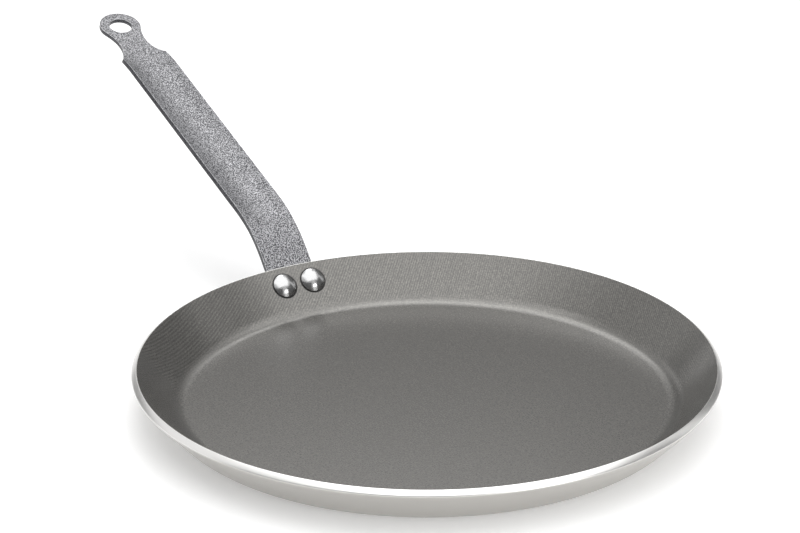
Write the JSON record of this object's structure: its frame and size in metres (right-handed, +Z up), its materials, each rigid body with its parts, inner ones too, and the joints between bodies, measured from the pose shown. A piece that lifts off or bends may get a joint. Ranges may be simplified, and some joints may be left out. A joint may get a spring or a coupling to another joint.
{
  "type": "crepe pan",
  "caption": "Shallow round pan with a low sloping wall, a dark non-stick lining and a riveted, raised strip handle with a hanging ring.",
  "frame": {"origin": "centre of the flat base, on the surface the pan rests on", "axes": "+Z up out of the pan, +X from the middle of the pan along its handle"},
  "size_m": [0.5193, 0.3, 0.1017],
  "materials": {
    "pressed_aluminium": "satin, turned fine along the rim",
    "nonstick_coating": "dark grey low-sheen non-stick coat with fine light specks",
    "coated_steel_strip": "grey hammertone epoxy coat",
    "rivet_aluminium": "smooth, bright"
  },
  "bodies": {
    "root": {"pan_body": "pressed_aluminium", "nonstick_lining": "nonstick_coating", "handle": "coated_steel_strip", "rivet_left": "rivet_aluminium", "rivet_right": "rivet_aluminium"}
  },
  "joints": []
}
